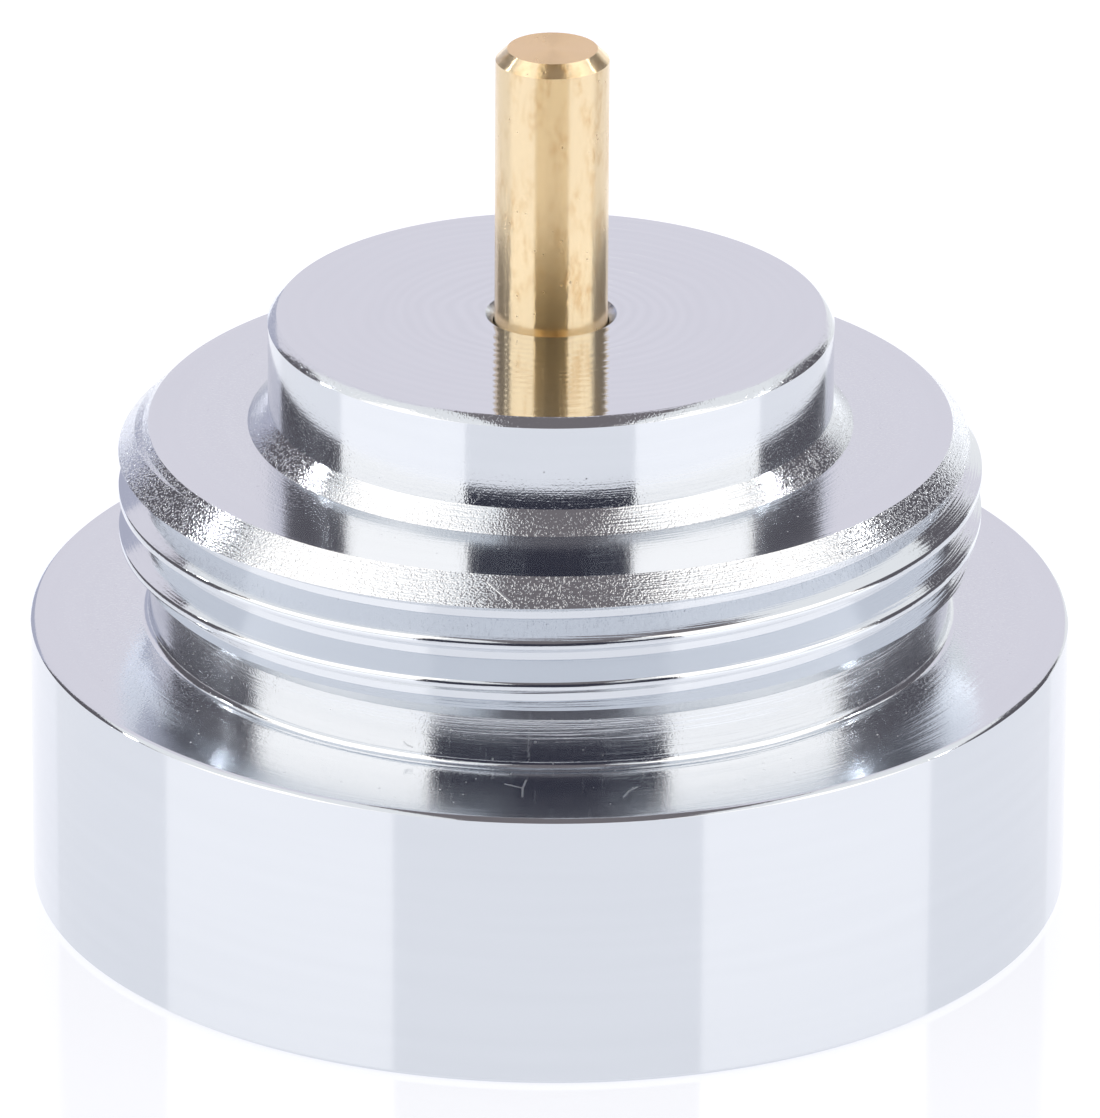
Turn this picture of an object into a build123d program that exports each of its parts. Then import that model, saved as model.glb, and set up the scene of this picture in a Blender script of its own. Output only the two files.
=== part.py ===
"""Radiator valve adapter: a turned and plated body, a sliding push pin and the ring that keeps the pin in.

Millimetres. The origin is the centre of the skirt's bottom face, and +Z points up along the axis, to the pin.
"""
from build123d import *
import math
import os

# Skirt: a wall round the thread of the valve that it screws onto
valve_thread_diameter = 32.0
skirt_wall = 2.0
skirt_height = 9.8
skirt_edge_break = 0.16

# Undercut neck between the skirt and the male thread
undercut_depth = 1.06
neck_length = 1.8
neck_foot_chamfer = 0.2

# Male thread for the thermostat head
thread_diameter = 29.82
thread_depth = 0.83
thread_pitch = 1.5
thread_flank_angle = 60.0
thread_root_flat = 0.25
thread_length = 5.25
thread_lead_chamfer = 1.03
thread_start_drop = 0.945

# Boss that guides the pin
boss_diameter = 19.5
boss_height = 3.95
boss_foot_chamfer = 0.7
boss_edge_chamfer = 0.3

# Socket for the valve, the relief at its inner end and the ledge that backs the ring
valve_thread_depth = 0.54
socket_depth = 6.6
socket_lead_chamfer = 0.6
relief_depth = 0.2
relief_length = 1.0
ring_ledge = 0.8

# Travel of the pin in the chamber over the socket
pin_stroke = 4.0
foot_side_clearance = 0.6

# Push pin
pin_diameter = 3.9
pin_projection = 9.7
pin_tip_chamfer = 0.4
pin_foot_diameter = 18.8
pin_foot_thickness = 1.5
pin_foot_edge_chamfer = 0.3
bore_clearance = 0.05
bore_mouth_chamfer = 0.26

# Retaining ring
ring_thickness = 1.0
ring_bite = 0.5
ring_width = 2.3
ring_lug_width = 1.5
ring_gap = 2.6
lug_diameter = 3.6
lug_hole_diameter = 1.8
ring_side_clearance = 0.05
ring_axial_clearance = 0.1
stop_clearance = 0.05

# Heights, worked out from the sizes above
neck_top = skirt_height + neck_length
shoulder_height = neck_top + thread_length
boss_top = shoulder_height + boss_height
pin_top = boss_top + pin_projection
relief_top = socket_depth + relief_length
ring_seat_height = relief_top + ring_ledge
foot_bottom = ring_seat_height + ring_thickness + stop_clearance
foot_top = foot_bottom + pin_foot_thickness
chamber_top = foot_top + pin_stroke + stop_clearance

# Radii, worked out from the sizes above
valve_thread_radius = valve_thread_diameter / 2
skirt_radius = valve_thread_radius + skirt_wall
socket_radius = valve_thread_radius - valve_thread_depth
relief_radius = valve_thread_radius + relief_depth
thread_radius = thread_diameter / 2
neck_radius = thread_radius - undercut_depth
thread_root_radius = thread_radius - thread_depth
boss_radius = boss_diameter / 2
pin_radius = pin_diameter / 2
foot_radius = pin_foot_diameter / 2
chamber_radius = foot_radius + foot_side_clearance
bore_radius = pin_radius + bore_clearance
groove_radius = chamber_radius + ring_bite
ring_radius = groove_radius - ring_side_clearance


def nearest_corner(sketch, x, z):
    """The vertex of a half-section that lies at radius x and height z."""
    return sketch.vertices().sort_by_distance((x, z, 0))[0]


# Cutter for half a turn of the male thread, which starts at +X at height zero
half_pitch = thread_pitch / 2
flank_slope = math.tan(math.radians(thread_flank_angle / 2))
crest_flat = thread_pitch - thread_root_flat - 2 * thread_depth * flank_slope
cutter_depth = thread_depth + crest_flat / 2
half_root = thread_root_flat / 2
half_mouth = half_root + cutter_depth * flank_slope
with BuildPart() as half_turn_cutter:
    with BuildLine() as half_turn:
        Helix(pitch=thread_pitch, height=half_pitch, radius=thread_root_radius)
    cutter_start = half_turn.line @ 0
    cutter_direction = half_turn.line % 0
    with BuildSketch(Plane(origin=cutter_start, x_dir=(1, 0, 0), z_dir=cutter_direction)):
        with BuildLine():
            Polyline(
                (0, -half_root),
                (cutter_depth, -half_mouth),
                (cutter_depth, half_mouth),
                (0, half_root),
                close=True,
            )
        make_face()
    sweep(path=half_turn.line, is_frenet=True)

# Body: the turned outside
with BuildPart() as adapter_body:
    with BuildSketch(Plane.XZ) as outside:
        with BuildLine():
            Polyline(
                (0, 0),
                (skirt_radius, 0),
                (skirt_radius, skirt_height),
                (neck_radius, skirt_height),
                (neck_radius, neck_top),
                (thread_radius, neck_top + undercut_depth),
                (thread_radius, shoulder_height - thread_lead_chamfer),
                (thread_radius - thread_lead_chamfer, shoulder_height),
                (boss_radius, shoulder_height),
                (boss_radius, boss_top),
                (0, boss_top),
                close=True,
            )
        make_face()
        chamfer(nearest_corner(outside, skirt_radius, skirt_height), skirt_edge_break)
        chamfer(nearest_corner(outside, skirt_radius, 0), skirt_edge_break)
        chamfer(nearest_corner(outside, boss_radius, boss_top), boss_edge_chamfer)
        chamfer(nearest_corner(outside, neck_radius, skirt_height), neck_foot_chamfer)
        chamfer(nearest_corner(outside, boss_radius, shoulder_height), boss_foot_chamfer)
    revolve(axis=Axis.Z)

    # Male thread: one right-handed groove that starts over the undercut and leaves through the lead chamfer
    groove_height = shoulder_height - thread_start_drop
    lowest_root = neck_top + undercut_depth - thread_depth
    half_turns_down = math.ceil((groove_height + half_root - lowest_root) / half_pitch)
    half_turns_up = math.ceil((thread_start_drop + half_root) / half_pitch)
    for number in range(-half_turns_down, half_turns_up):
        with Locations(Location((0, 0, groove_height + number * half_pitch), (0, 0, number * 180))):
            add(half_turn_cutter.part, mode=Mode.SUBTRACT)

    # Socket, relief, chamber, ring groove and pin bore, from below
    with BuildSketch(Plane.XZ):
        with BuildLine():
            Polyline(
                (0, 0),
                (socket_radius + socket_lead_chamfer, 0),
                (socket_radius, socket_lead_chamfer),
                (socket_radius, socket_depth),
                (relief_radius, socket_depth),
                (relief_radius, relief_top),
                (chamber_radius, relief_top),
                (chamber_radius, ring_seat_height),
                (groove_radius, ring_seat_height),
                (groove_radius, ring_seat_height + ring_thickness + ring_axial_clearance),
                (chamber_radius, ring_seat_height + ring_thickness + ring_axial_clearance),
                (chamber_radius, chamber_top),
                (bore_radius + bore_mouth_chamfer, chamber_top),
                (bore_radius, chamber_top + bore_mouth_chamfer),
                (bore_radius, boss_top - bore_mouth_chamfer),
                (bore_radius + bore_mouth_chamfer, boss_top),
                (0, boss_top),
                close=True,
            )
        make_face()
    revolve(axis=Axis.Z, mode=Mode.SUBTRACT)

# Push pin: a rod and its foot, turned in one piece, resting on the ring
with BuildPart() as push_pin:
    with BuildSketch(Plane.XY.offset(foot_bottom)):
        Circle(foot_radius)
    extrude(amount=pin_foot_thickness)
    chamfer(push_pin.edges(), pin_foot_edge_chamfer)
    with BuildSketch(Plane.XY.offset(foot_top)):
        Circle(pin_radius)
    extrude(amount=pin_top - foot_top)
    chamfer(push_pin.edges().group_by(Axis.Z)[-1], pin_tip_chamfer)

# Retaining ring: an internal snap ring with a gap and two lugs
with BuildPart() as retaining_ring:
    with BuildSketch(Plane.XY.offset(ring_seat_height)):
        Circle(ring_radius)
        inner_radius = ring_radius - (ring_width + ring_lug_width) / 2
        with Locations(((ring_width - ring_lug_width) / 2, 0)):
            Circle(inner_radius, mode=Mode.SUBTRACT)
        lug_side = ring_gap / 2 + lug_diameter / 2
        lug_reach = math.sqrt((ring_radius - lug_diameter / 2 - ring_side_clearance) ** 2 - lug_side**2)
        with Locations((lug_reach, -lug_side), (lug_reach, lug_side)):
            Circle(lug_diameter / 2)
            Circle(lug_hole_diameter / 2, mode=Mode.SUBTRACT)
        with Locations((ring_radius, 0)):
            Rectangle(ring_radius, ring_gap, mode=Mode.SUBTRACT)
    extrude(amount=ring_thickness)

os.makedirs("parts", exist_ok=True)
adapter_body.part.label = "adapter_body"
push_pin.part.label = "push_pin"
retaining_ring.part.label = "retaining_ring"
export_step(adapter_body.part, "parts/adapter_body.step")
export_step(push_pin.part, "parts/push_pin.step")
export_step(retaining_ring.part, "parts/retaining_ring.step")
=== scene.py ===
"""Radiator valve adapter in a white product studio.

The body is plated and bright, the push pin is brass and the retaining ring is dark steel.
"""
import math

import bpy
from mathutils import Matrix, Vector


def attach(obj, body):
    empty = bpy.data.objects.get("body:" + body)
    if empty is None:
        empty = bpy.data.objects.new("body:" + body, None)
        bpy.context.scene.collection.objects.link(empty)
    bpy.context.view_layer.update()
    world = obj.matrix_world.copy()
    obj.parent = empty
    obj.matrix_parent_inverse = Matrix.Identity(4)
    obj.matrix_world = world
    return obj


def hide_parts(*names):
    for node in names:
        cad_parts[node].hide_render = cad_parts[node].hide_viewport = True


MM = 0.001
TURN = 2 * math.pi

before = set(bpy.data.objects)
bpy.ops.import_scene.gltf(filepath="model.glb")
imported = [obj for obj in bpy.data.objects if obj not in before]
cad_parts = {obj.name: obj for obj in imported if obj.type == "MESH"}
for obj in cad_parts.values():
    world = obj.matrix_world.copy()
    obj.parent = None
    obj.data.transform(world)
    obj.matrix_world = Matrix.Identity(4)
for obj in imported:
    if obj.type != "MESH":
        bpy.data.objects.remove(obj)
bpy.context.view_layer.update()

# Sizes of the body in millimetres, as the solids have them
SKIRT_RADIUS, SKIRT_HEIGHT, SKIRT_EDGE = 18.0, 9.8, 0.16
NECK_RADIUS, NECK_TOP, NECK_FOOT = 13.85, 11.6, 0.3
SHOULDER = 16.85
BOSS_RADIUS, BOSS_TOP, BOSS_FOOT, BOSS_EDGE = 9.75, 20.8, 0.7, 0.3
BORE_RADIUS, BORE_MOUTH = 2.0, 0.26
CHAMBER_RADIUS, CHAMBER_TOP = 10.0, 15.0
RING_GROOVE_RADIUS, RING_GROOVE_TOP, RING_SEAT = 10.5, 9.5, 8.4
RELIEF_RADIUS, RELIEF_TOP, RELIEF_BOTTOM = 16.2, 7.6, 6.6

# Threads, as height over depth: depth is a radius, negative where the thread faces inwards
# The turns of a groove are numbered from first, and count says how many there are
MALE = dict(
    crest=14.91, root=14.08, pitch=1.5, root_flat=0.25, centre=15.905,
    base=(NECK_RADIUS, NECK_TOP), lead=15.82, stop=None, first=-4, count=6,
)
FEMALE = dict(
    crest=-15.46, root=-16.0, pitch=1.0, root_flat=0.125, centre=5.2,
    base=(-16.06, 0.0), lead=None, stop=RELIEF_BOTTOM, first=-7, count=9,
)
FLANK = math.tan(math.radians(60))
COLUMNS = 300


def unit(x, z):
    length = math.hypot(x, z)
    return x / length, z / length


def thread_normals(count, worn=0):
    """Normals at both ends of the strips of a thread, and whether they follow its helix.

    Before each groove come a run-in cone, the crest and a run-out cone, then the groove's three sides.
    A worn crest is shaded as if its upper edge were rounded.
    """
    low, high, level = unit(1, -1), unit(1, 1), (1, 0)
    below, above = unit(1, FLANK), unit(1, -FLANK)
    plain = [(low, low, 0), (unit(1, -0.2 * worn), unit(1, worn), 0), (high, high, 0)]
    return (plain + [(below, below, 1), (level, level, 0), (above, above, 1)]) * count + plain


def thread_outline(spec, turn):
    """Points of a thread in the half-plane at this share of a turn, from its base up.

    The grooves are cut off at both ends of the thread.
    """
    crest, root, pitch = spec["crest"], spec["root"], spec["pitch"]
    base_depth, base_height = spec["base"]
    lead = spec["lead"]
    half_root = spec["root_flat"] / 2
    half_mouth = half_root + (crest - root) / FLANK
    low_end = base_height + root - base_depth
    low_corner = base_height + crest - base_depth
    high_end = lead + crest - root if lead else spec["stop"]
    high_corner = lead if lead else spec["stop"]

    def blank(height):
        depth = min(crest, base_depth + height - base_height)
        return min(depth, crest + lead - height) if lead else depth

    points = []
    last = base_height
    for number in range(spec["first"], spec["first"] + spec["count"]):
        centre = spec["centre"] + pitch * (number + turn)
        a, b, c, d = centre - half_mouth, centre - half_root, centre + half_root, centre + half_mouth
        groove = [(crest, a), (root, b), (root, c), (crest, d)]
        if a < low_corner:
            at = (crest + FLANK * a - base_depth + base_height) / (1 + FLANK)
            groove[0] = (blank(at), at) if b > low_end else (root, low_end)
        if b < low_end:
            groove[1] = (root, low_end)
        if c < low_end:
            groove[2] = groove[3] = (root, low_end)
        elif d < low_corner:
            at = (base_depth - base_height - root + FLANK * c) / (FLANK - 1)
            groove[3] = (blank(at), at)
        if lead:
            if d > high_corner:
                at = (crest - root + lead + FLANK * c) / (1 + FLANK)
                groove[3] = (blank(at), at) if c < high_end else (root, high_end)
            if c > high_end:
                groove[2] = (root, high_end)
            if b > high_end:
                groove[0] = groove[1] = (root, high_end)
            elif a > high_corner:
                at = (FLANK * a - lead) / (FLANK - 1)
                groove[0] = (blank(at), at)
        else:
            stop = spec["stop"]
            from_centre = abs(stop - centre)
            at_stop = min(crest, root + max(0, from_centre - half_root) * FLANK)
            groove = [(at_stop, stop) if height > stop else (depth, height) for depth, height in groove]
        for corner in (low_corner, high_corner):
            height = min(max(corner, last), groove[0][1])
            points.append((blank(height), height))
        points.extend(groove)
        last = groove[3][1]
    end = SHOULDER if lead else spec["stop"]
    for corner in (low_corner, high_corner):
        height = min(max(corner, last), end)
        points.append((blank(height), height))
    if not lead:
        for number in range(1, len(points)):
            if points[number - 1][1] >= spec["stop"]:
                points[number] = points[number - 1]
    return points


def arc(centre, radius, start, stop, steps):
    """Points of a fillet and their directions from its centre."""
    points, ways = [], []
    for step in range(steps + 1):
        angle = math.radians(start + (stop - start) * step / steps)
        way = (math.cos(angle), math.sin(angle))
        points.append((centre[0] + radius * way[0], centre[1] + radius * way[1]))
        ways.append(way)
    return points, ways


def strip(points):
    """Normals of plain strips between points, on the right-hand side of the way along them."""
    return [(unit(b[1] - a[1], a[0] - b[0]), 0) for a, b in zip(points, points[1:])]


def body_outline(turn):
    """Closed outline of the body in one half-plane, and the normals at both ends of each strip."""
    points, sides = [], []

    def line(*more):
        run = ([points[-1]] if points else []) + list(more)
        sides.extend((normal, normal, lead) for normal, lead in strip(run))
        points.extend(more)

    def fillet(centre, radius, start, stop, steps):
        run, ways = arc(centre, radius, start, stop, steps)
        line(run[0])
        inward = [(-x, -z) for x, z in ways]
        sides.extend((a, b, 0) for a, b in zip(inward, inward[1:]))
        points.extend(run[1:])

    def rounded(point, low, high):
        """A line to a point, shaded as if it were rounded between two elevations of its normal."""
        low, high = math.radians(low), math.radians(high)
        points.append(point)
        sides.append(((math.cos(low), math.sin(low)), (math.cos(high), math.sin(high)), 0))

    line((SKIRT_RADIUS - SKIRT_EDGE, 0), (SKIRT_RADIUS, SKIRT_EDGE))
    line((SKIRT_RADIUS, SKIRT_HEIGHT - SKIRT_EDGE))
    rounded((SKIRT_RADIUS - SKIRT_EDGE, SKIRT_HEIGHT), 45, 75)
    fillet((NECK_RADIUS + NECK_FOOT, SKIRT_HEIGHT + NECK_FOOT), NECK_FOOT, 270, 180, 6)
    line((NECK_RADIUS, NECK_TOP))

    outline = thread_outline(MALE, turn)
    normals = thread_normals(MALE["count"], 1)
    sides.extend((start, end, lead * MALE["pitch"] / TURN) for start, end, lead in normals)
    points.extend(outline)
    points.append((MALE["crest"] + MALE["lead"] - SHOULDER, SHOULDER))

    line((BOSS_RADIUS + BOSS_FOOT, SHOULDER), (BOSS_RADIUS, SHOULDER + BOSS_FOOT))
    rounded((BOSS_RADIUS, BOSS_TOP - BOSS_EDGE), 2.3, 2.3)
    rounded((BOSS_RADIUS - BOSS_EDGE, BOSS_TOP), 45, 68)
    line((BORE_RADIUS + BORE_MOUTH, BOSS_TOP), (BORE_RADIUS, BOSS_TOP - BORE_MOUTH))
    line((BORE_RADIUS, CHAMBER_TOP + BORE_MOUTH), (BORE_RADIUS + BORE_MOUTH, CHAMBER_TOP))
    line((CHAMBER_RADIUS, CHAMBER_TOP), (CHAMBER_RADIUS, RING_GROOVE_TOP))
    line((RING_GROOVE_RADIUS, RING_GROOVE_TOP), (RING_GROOVE_RADIUS, RING_SEAT))
    line((CHAMBER_RADIUS, RING_SEAT), (CHAMBER_RADIUS, RELIEF_TOP))
    line((RELIEF_RADIUS, RELIEF_TOP), (RELIEF_RADIUS, RELIEF_BOTTOM))

    outline = thread_outline(FEMALE, turn)
    outline = [(-depth, height) for depth, height in reversed(outline)]
    line(outline[0])
    normals = list(reversed(thread_normals(FEMALE["count"])))
    sides.extend(((-x, z), (-x, z), lead * FEMALE["pitch"] / TURN) for (x, z), _, lead in normals[1:])
    points.extend(outline[1:])
    points.append((-FEMALE["base"][0], FEMALE["base"][1]))
    sides.append(((0, -1), (0, -1), 0))
    return points, sides


def turned_mesh(name, outline_at, columns):
    """Mesh of a turned piece whose outline may change round the axis, with its true normals."""
    vertices, index, faces, normals = [], {}, [], []

    def vertex(point, column):
        angle = TURN * (column % columns) / columns
        place = (point[0] * math.cos(angle), point[0] * math.sin(angle), point[1])
        key = tuple(round(value * 1e5) for value in place)
        if key not in index:
            index[key] = len(vertices)
            vertices.append([value * MM for value in place])
        return index[key]

    def normal(way, lead, point, column):
        angle = TURN * column / columns
        across = -way[1] * lead / max(point[0], 0.1)
        return Vector(
            (
                way[0] * math.cos(angle) - across * math.sin(angle),
                way[0] * math.sin(angle) + across * math.cos(angle),
                way[1],
            )
        ).normalized()

    before, sides = outline_at(0)
    for column in range(columns):
        after, _ = outline_at((column + 1) / columns)
        for number, (start_way, end_way, lead) in enumerate(sides):
            following = (number + 1) % len(before)
            corners = [
                (before[number], column, start_way),
                (after[number], column + 1, start_way),
                (after[following], column + 1, end_way),
                (before[following], column, end_way),
            ]
            face, face_normals = [], []
            for point, at, way in corners:
                where = vertex(point, at)
                if where not in face:
                    face.append(where)
                    face_normals.append(normal(way, lead, point, at))
            if len(face) > 2:
                faces.append(face)
                normals.extend(face_normals)
        before = after
    mesh = bpy.data.meshes.new(name)
    mesh.from_pydata(vertices, [], faces)
    mesh.polygons.foreach_set("use_smooth", [True] * len(faces))
    mesh.normals_split_custom_set(normals)
    piece = bpy.data.objects.new(name, mesh)
    bpy.context.scene.collection.objects.link(piece)
    return piece


# Materials
def material(name):
    made = bpy.data.materials.new(name)
    made.use_nodes = True
    made.node_tree.nodes.clear()
    return made, made.node_tree


class Nodes:
    """Short ways to add the nodes of one material, where a value is a number or another node's output."""

    def __init__(self, tree):
        self.tree = tree

    def add(self, kind, values=(), **settings):
        node = self.tree.nodes.new("ShaderNode" + kind)
        for name, setting in settings.items():
            setattr(node, name, setting)
        for socket, value in values:
            if isinstance(value, bpy.types.NodeSocket):
                self.tree.links.new(value, node.inputs[socket])
            else:
                node.inputs[socket].default_value = value
        return node

    def math(self, operation, *values):
        return self.add("Math", enumerate(values), operation=operation).outputs[0]

    def vector_math(self, operation, *values):
        return self.add("VectorMath", enumerate(values), operation=operation)

    def step(self, value, start, stop, low=0.0, high=1.0):
        """Smooth change from low to high as the value goes from start to stop."""
        numbers = enumerate((value, start, stop, low, high))
        return self.add("MapRange", numbers, interpolation_type="SMOOTHSTEP").outputs[0]

    def noise(self, vector, detail=2.0, roughness=0.5):
        """Noise about zero that changes once for each unit of the vector."""
        values = [("Vector", vector), ("Scale", 1.0), ("Detail", detail), ("Roughness", roughness)]
        return self.math("SUBTRACT", self.add("TexNoise", values).outputs["Fac"], 0.5)

    def ramp(self, value, reach, stops):
        """Colour that changes with a value from zero to its reach."""
        node = self.add("ValToRGB", [(0, self.math("DIVIDE", value, reach))])
        elements = node.color_ramp.elements
        for number, (at, colour) in enumerate(stops):
            element = elements[number] if number < 2 else elements.new(1)
            element.position = at / reach
            element.color = (*colour, 1)
        return node.outputs[0]


class Turned(Nodes):
    """Nodes for a turned surface: place, radius and height in millimetres, and streaks round the axis."""

    def __init__(self, tree):
        super().__init__(tree)
        seat = self.add("TexCoord")
        self.place = self.vector_math("SCALE", seat.outputs["Object"]).outputs[0]
        self.place.node.inputs["Scale"].default_value = 1 / MM
        normal = self.add("SeparateXYZ", [(0, seat.outputs["Normal"])])
        self.normal_height = self.math("ABSOLUTE", normal.outputs["Z"])
        x, y, self.height = self.add("SeparateXYZ", [(0, self.place)]).outputs
        flat = self.add("CombineXYZ", [(0, x), (1, y)]).outputs[0]
        self.radius = self.vector_math("LENGTH", flat).outputs["Value"]
        self.x_share = self.math("DIVIDE", x, self.radius)
        self.y_share = self.math("DIVIDE", y, self.radius)
        self.profile = self.math("SUBTRACT", self.radius, self.math("MULTIPLY", self.height, 1.37))

    def streaks(self, across, turns, detail=2.0):
        """Noise that changes once in `across` millimetres over the profile and `turns` times round."""
        around = turns / TURN
        values = [
            (0, self.math("DIVIDE", self.profile, across)),
            (1, self.math("MULTIPLY", self.x_share, around)),
            (2, self.math("MULTIPLY", self.y_share, around)),
        ]
        return self.noise(self.add("CombineXYZ", values).outputs[0], detail)

    def specks(self, spacing, size, share):
        """Small dots, 1 at their middles, in this share of the cells of a loose net."""
        cells = self.add("TexVoronoi", [("Vector", self.place), ("Scale", 1 / spacing)])
        dot = self.step(cells.outputs["Distance"], size / spacing, 0.3 * size / spacing)
        chance = self.add("SeparateColor", [(0, cells.outputs["Color"])]).outputs[0]
        return self.math("MULTIPLY", dot, self.math("LESS_THAN", chance, share))

    def scratch(self, start, stop, half_width):
        """A line between two places, 1 at its middle."""
        way = Vector(stop) - Vector(start)
        offset = self.vector_math("SUBTRACT", self.place, start).outputs[0]
        along = self.vector_math("DOT_PRODUCT", offset, tuple(way / way.length_squared)).outputs["Value"]
        share = self.add("Clamp", [(0, along)]).outputs[0]
        nearest = self.vector_math("SCALE", tuple(way))
        self.tree.links.new(share, nearest.inputs["Scale"])
        gap = self.vector_math("DISTANCE", offset, nearest.outputs[0]).outputs["Value"]
        return self.step(gap, half_width, 0.3 * half_width)

    def sum(self, *values):
        total = values[0]
        for value in values[1:]:
            total = self.math("ADD", total, value)
        return total

    def scaled(self, value, *factors):
        for factor in factors:
            value = self.math("MULTIPLY", value, factor)
        return value

    def tint(self, colour, other, share):
        values = [(0, share), (6, (*colour, 1)), (7, (*other, 1))]
        return self.add("Mix", values, data_type="RGBA").outputs[2]

    def metal(self, colour, roughness, height, blur_across=0.0, bare=1.0):
        """Metal with a relief in millimetres, and reflections that are blurred across its lathe lines."""
        bump = self.add("Bump", [("Strength", 1.0), ("Distance", MM), ("Height", height)])
        round_axis = self.add("Tangent", direction_type="RADIAL", axis="Z")
        values = [("Base Color", colour), ("Roughness", roughness), ("Metallic", bare)]
        values += [("Normal", bump.outputs[0]), ("Tangent", round_axis.outputs[0])]
        values += [("Anisotropic", blur_across), ("Anisotropic Rotation", 0.25)]
        shader = self.add("BsdfPrincipled", values)
        self.add("OutputMaterial", [(0, shader.outputs[0])])


def polar(radius, azimuth, height):
    """A place on the body, at an azimuth from the camera's side."""
    angle = math.radians(azimuth)
    return radius * math.sin(angle), -radius * math.cos(angle), height


def bright_plating():
    """Chrome with lathe lines, feed rings on the flat faces, a rough lead chamfer and a few marks."""
    made, tree = material("bright_plating")
    g = Turned(tree)

    # Slope of the lathe lines, slope of the grain, and roughness, up the walls and out along the flat faces
    skirt, thread, chamfer = (0.025, 0.0, 0.07), (0.20, 0.05, 0.08), (0.45, 0.80, 0.10)
    walls = g.ramp(g.height, 21.0, [
        (0.0, skirt), (9.5, skirt), (10.0, (0.30, 0.10, 0.10)), (10.5, (0.35, 0.10, 0.11)),
        (11.0, (0.60, 0.15, 0.16)), (11.6, (0.60, 0.20, 0.18)), (11.9, (0.25, 0.05, 0.08)), (15.5, thread),
        (15.8, chamfer), (16.8, chamfer), (17.4, (0.35, 0.40, 0.08)), (17.7, (0.12, 0.15, 0.075)),
        (20.3, (0.06, 0.02, 0.09)), (20.6, (0.20, 0.20, 0.08)),
    ])
    boss_top = (0.20, 0.0, 0.07)
    flats = g.ramp(g.radius, 20.0, [
        (2.2, (0.40, 0.04, 0.06)), (4.0, (0.30, 0.03, 0.06)), (7.0, boss_top), (9.4, boss_top),
        (10.0, (0.35, 0.25, 0.10)), (13.6, (0.15, 0.04, 0.10)),
        (14.1, (0.40, 0.25, 0.10)), (17.8, (0.15, 0.05, 0.12)),
    ])
    is_flat = g.step(g.normal_height, 0.97, 0.99)
    finish = g.add("Mix", [(0, is_flat), (6, walls), (7, flats)], data_type="RGBA").outputs[2]
    line_slope, grain_slope, roughness = g.add("SeparateColor", [(0, finish)]).outputs

    # The lines are deeper on the right-hand side, and the grain deeper at both sides than at the front
    lines = g.scaled(g.streaks(0.10, 25, 1.0), line_slope, g.step(g.x_share, -0.2, 0.3, 0.014, 0.030))
    grain = g.scaled(g.streaks(0.085, 900, 0.0), grain_slope, g.step(g.y_share, -0.65, -0.45, 0.008, 0.014))
    grit = g.noise(g.vector_math("MULTIPLY", g.place, (13.0, 13.0, 13.0)).outputs[0], 0.0)
    depth = g.step(g.y_share, -0.85, -0.45, -0.006, -0.014)
    sparkle = g.scaled(g.step(grit, 0.07, 0.22), grain_slope, depth)

    # Feed rings of the last facing cut, strongest round the bore
    wobble = g.scaled(g.streaks(1.6, 10, 0.0), 9.0)
    turn = g.sum(g.scaled(g.radius, TURN / 0.5), wobble)
    strength = g.step(g.radius, 9.4, 10.0, 0.0022, 0.0002)
    rings = g.scaled(g.math("SINE", turn), strength, is_flat)

    marks = [
        (polar(14.07, -8.4, 16.66), polar(14.55, -5.1, 16.18)),
        (polar(15.18, -5.5, 9.8), polar(15.46, -3.3, 9.8)),
        (polar(14.79, -2.9, 9.8), polar(15.46, -3.2, 9.8)),
        (polar(15.46, -3.2, 9.8), polar(16.20, -3.1, 9.8)),
        (polar(16.33, 8.9, 9.8), polar(15.86, 9.8, 9.8)),
        (polar(15.86, 9.8, 9.8), polar(15.59, 11.0, 9.8)),
        (polar(13.85, -20.6, 10.37), polar(13.85, -20.2, 10.28)),
        (polar(13.85, -20.2, 10.28), polar(13.85, -19.4, 10.23)),
    ]
    worn = g.scaled(g.specks(0.5, 0.055, 0.8), g.step(grain_slope, 0.05, 0.12))
    scratches = [g.scratch(start, stop, 0.055) for start, stop in marks]
    for scratch in scratches:
        worn = g.math("MAXIMUM", worn, scratch)

    # Only the first mark, across the lead chamfer, is deep
    height = g.sum(lines, grain, sparkle, rings, g.scaled(scratches[0], 0.010))
    ring_tone = g.scaled(g.math("SINE", turn), g.step(g.radius, 3.0, 7.5, 0.25, 0.03), is_flat)
    tone = g.sum(g.scaled(g.streaks(0.6, 14, 0.0), 0.4), ring_tone, g.scaled(grit, grain_slope, 2.0), 0.5)
    colour = g.tint((0.705, 0.735, 0.775), (0.755, 0.785, 0.825), g.add("Clamp", [(0, tone)]).outputs[0])
    g.metal(colour, g.sum(roughness, g.scaled(worn, 0.32)), height, 0.9)
    return made


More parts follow.
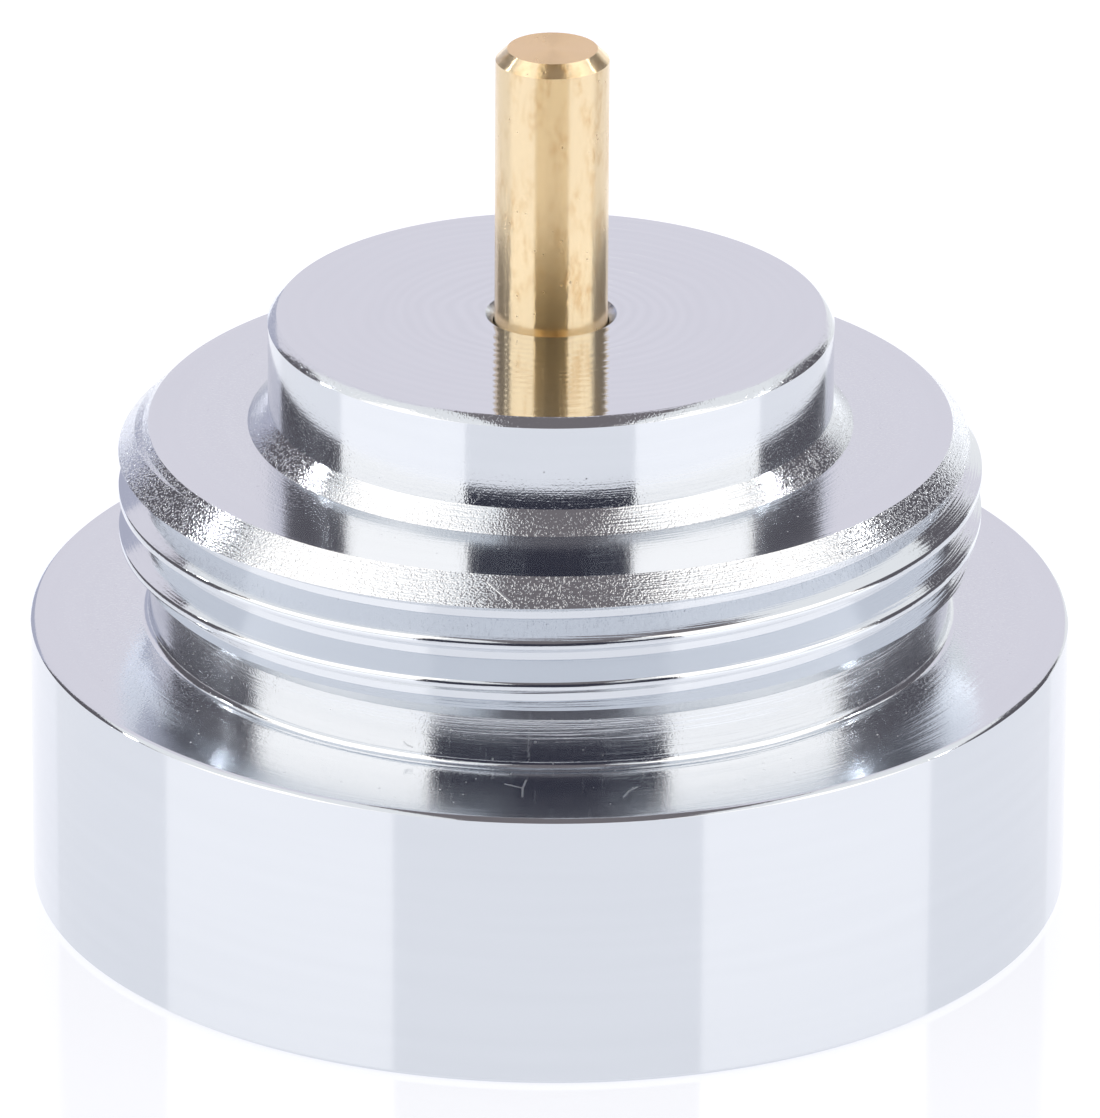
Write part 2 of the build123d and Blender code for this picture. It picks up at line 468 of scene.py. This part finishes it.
def turned_brass():
    """Bare brass rod with fine lines, small pits, brown blotches and a painted shade stripe down the side
    that faces the camera.
    """
    made, tree = material("turned_brass")
    g = Turned(tree)
    blotches = g.noise(g.vector_math("MULTIPLY", g.place, (1.6, 1.6, 0.5)).outputs[0], 4.0, 0.6)
    mottle = g.noise(g.vector_math("MULTIPLY", g.place, (5.0, 5.0, 2.5)).outputs[0], 2.0)
    stain = g.step(g.sum(blotches, g.scaled(mottle, 0.4)), -0.05, 0.45)
    side = g.tint((0.915, 0.745, 0.49), (0.745, 0.49, 0.23), stain)
    is_top = g.step(g.normal_height, 0.97, 0.99)
    # Painted shade: the side facing the camera is made browner and darker, most towards the bottom, standing
    # in for the darker reflection there
    painted_front_shade = g.scaled(g.step(g.y_share, -0.94, -0.975), g.step(g.height, 25.5, 21.5, 0.55, 1.0))
    values = [(0, painted_front_shade), (6, side), (7, (1, 0.84, 0.56, 1))]
    side = g.add("Mix", values, data_type="RGBA", blend_type="MULTIPLY").outputs[2]
    colour = g.add("Mix", [(0, is_top), (6, side), (7, (0.84, 0.60, 0.34, 1))], data_type="RGBA").outputs[2]
    pits = g.specks(0.30, 0.055, 0.2)
    lines = g.scaled(g.streaks(0.07, 9), g.step(is_top, 0.0, 1.0, 0.0020, 0.0060))
    grain = g.scaled(mottle, g.step(is_top, 0.0, 1.0, 0.0075, 0.0015))
    roughness = g.sum(g.scaled(blotches, 0.15), g.scaled(pits, 0.3), 0.24)
    g.metal(colour, roughness, g.sum(lines, grain, g.scaled(pits, -0.006)), 0.9, 0.80)
    return made


def spring_steel():
    """Dark rolled spring steel with a dull grain."""
    made, tree = material("spring_steel")
    g = Turned(tree)
    grain = g.noise(g.vector_math("MULTIPLY", g.place, (9.0, 9.0, 9.0)).outputs[0], 4.0, 0.6)
    colour = g.tint((0.24, 0.24, 0.26), (0.34, 0.34, 0.36), g.step(grain, -0.2, 0.2))
    g.metal(colour, g.sum(g.scaled(grain, 0.2), 0.34), g.scaled(grain, 0.004))
    return made


chrome = bright_plating()
brass = turned_brass()
steel = spring_steel()

body = turned_mesh("plated_body", body_outline, COLUMNS)
body.data.materials.append(chrome)
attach(body, "adapter")
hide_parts("adapter_body")
for node, finish in (("push_pin", brass), ("retaining_ring", steel)):
    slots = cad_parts[node].data.materials
    slots.clear()
    slots.append(finish)

# Studio: a white room with dark flags and grey cards round it, and two lamps
CENTRE = Vector((0, 0, 0.015))


def direction(azimuth, elevation):
    """Unit vector at an azimuth from the camera's side and an elevation, in degrees."""
    around, above = math.radians(azimuth), math.radians(elevation)
    return Vector((math.sin(around) * math.cos(above), -math.cos(around) * math.cos(above), math.sin(above)))


def glow(name, colour, strength):
    made, tree = material(name)
    shader = tree.nodes.new("ShaderNodeEmission")
    shader.inputs["Color"].default_value = (*colour, 1)
    shader.inputs["Strength"].default_value = strength
    output = tree.nodes.new("ShaderNodeOutputMaterial")
    tree.links.new(shader.outputs[0], output.inputs[0])
    made.cycles.emission_sampling = "NONE"
    return made


def card(name, azimuths, elevations, distance, finish):
    """A curved card that the camera doesn't see, between two azimuths and two elevations."""
    steps = 12
    vertices, faces = [], []
    for i in range(steps + 1):
        azimuth = azimuths[0] + (azimuths[1] - azimuths[0]) * i / steps
        for j in range(steps + 1):
            elevation = elevations[0] + (elevations[1] - elevations[0]) * j / steps
            vertices.append(CENTRE + distance * direction(azimuth, elevation))
    row = steps + 1
    for i in range(steps):
        for j in range(steps):
            at = i * row + j
            faces.append((at, at + row, at + row + 1, at + 1))
    mesh = bpy.data.meshes.new(name)
    mesh.from_pydata(vertices, [], faces)
    piece = bpy.data.objects.new(name, mesh)
    bpy.context.scene.collection.objects.link(piece)
    piece.data.materials.append(finish)
    piece.visible_camera = False
    return piece


dark = glow("camera_cloth", (0.045, 0.045, 0.065), 1)
flag = glow("flag_cloth", (0.135, 0.125, 0.14), 1)
brown = glow("ceiling_cloth", (0.21, 0.19, 0.20), 1)
grey = glow("backdrop_grey", (0.855, 0.82, 0.89), 1)
shade = glow("shaded_wall", (0.51, 0.515, 0.63), 1)
soft = glow("soft_box", (1, 0.945, 0.89), 1.66)
card("camera_side", (-34, 34), (0, 36), 1.2, dark)
card("soft_box_left", (-101, -34), (16, 60), 1.2, soft)
card("soft_box_right", (34, 101), (16, 60), 1.2, soft)
card("flag_left", (-141, -93), (0, 36), 1.1, flag)
card("flag_right", (93, 137), (0, 36), 1.1, flag)
card("flag_right_end", (137, 148), (15, 36), 1.1, flag)
card("shaded_corner", (-168, -141), (0, 18), 1.1, shade)
card("backdrop", (150, 220), (14, 62), 1.2, grey)

# The gap between the soft boxes, overhead and down to the camera's side
gap_mesh = bpy.data.meshes.new("ceiling")
gap_corners = [(-0.27, -1.7), (0.41, -1.7), (0.41, 0.75), (-0.27, 0.75)]
gap_mesh.from_pydata([(x, y, 1.15) for x, y in gap_corners], [], [range(len(gap_corners))])
ceiling = bpy.data.objects.new("ceiling", gap_mesh)
ceiling.data.materials.append(brown)
ceiling.visible_camera = False
bpy.context.scene.collection.objects.link(ceiling)

for name, azimuth, height in (("lamp_left", -115, 34), ("lamp_right", 109, 37)):
    data = bpy.data.lights.new(name, "AREA")
    data.shape = "DISK"
    data.size = 0.055
    data.energy = 0.25
    lamp = bpy.data.objects.new(name, data)
    towards = direction(azimuth, height)
    lamp.location = CENTRE + 1.0 * towards
    lamp.rotation_euler = towards.to_track_quat("Z", "Y").to_euler()
    bpy.context.scene.collection.objects.link(lamp)

# Floor: a glossy white table that the camera, metal and glass all see alike, with the object's soft shadow
made, tree = material("white_table")
table = Nodes(tree)
values = [("Base Color", (0.25, 0.25, 0.25, 1)), ("Roughness", 0.1), ("Specular IOR Level", 0.33)]
values += [("Emission Color", (0.77, 0.78, 0.825, 1)), ("Emission Strength", 1.0)]
glossy = table.add("BsdfPrincipled", values)
plain = table.add("BsdfDiffuse", [("Color", (0.80, 0.80, 0.82, 1))])
path = table.add("LightPath").outputs
seen = table.math("ADD", path["Is Camera Ray"], path["Is Glossy Ray"])
seen = table.math("ADD", seen, path["Is Transmission Ray"])
mix = table.add("MixShader", [(0, seen), (1, plain.outputs[0]), (2, glossy.outputs[0])])
table.add("OutputMaterial", [(0, mix.outputs[0])])
floor_mesh = bpy.data.meshes.new("floor")
reach = 4.0
floor_corners = [(-reach, -reach, 0), (reach, -reach, 0), (reach, reach, 0), (-reach, reach, 0)]
floor_mesh.from_pydata(floor_corners, [], [(0, 1, 2, 3)])
floor = bpy.data.objects.new("floor", floor_mesh)
floor.location.z = -0.00002
floor.data.materials.append(made)
bpy.context.scene.collection.objects.link(floor)

# World: plain white
world = bpy.data.worlds.new("white_room")
world.use_nodes = True
world.node_tree.nodes["Background"].inputs["Color"].default_value = (1, 1, 1, 1)
world.node_tree.nodes["Background"].inputs["Strength"].default_value = 1
world.cycles.sampling_method = "NONE"
scene = bpy.context.scene
scene.world = world

# Camera, at the photograph's viewing angle
elevation = math.radians(22.961)
roll = math.radians(0.3207)
aim = Vector((0, 0, 9.94 * MM))
distance, shift_right, shift_up = 421.8 * MM, 0.0168 * MM, 1.538 * MM
back = Vector((0, -math.cos(elevation), math.sin(elevation)))
right = Vector((1, 0, 0))
up = Vector((0, math.sin(elevation), math.cos(elevation)))
side = math.cos(roll) * right + math.sin(roll) * up
top = -math.sin(roll) * right + math.cos(roll) * up
place = aim + distance * back + shift_right * side + shift_up * top
camera_data = bpy.data.cameras.new("camera")
camera_data.lens = 391.25
camera_data.sensor_width = 36
camera_data.clip_start = 0.01
camera = bpy.data.objects.new("camera", camera_data)
camera.matrix_world = Matrix(
    (
        (side.x, top.x, back.x, place.x),
        (side.y, top.y, back.y, place.y),
        (side.z, top.z, back.z, place.z),
        (0, 0, 0, 1),
    )
)
scene.collection.objects.link(camera)
scene.camera = camera
scene.view_settings.view_transform = "Standard"
scene.cycles.diffuse_bounces = 1
scene.cycles.glossy_bounces = 5
scene.cycles.max_bounces = 6
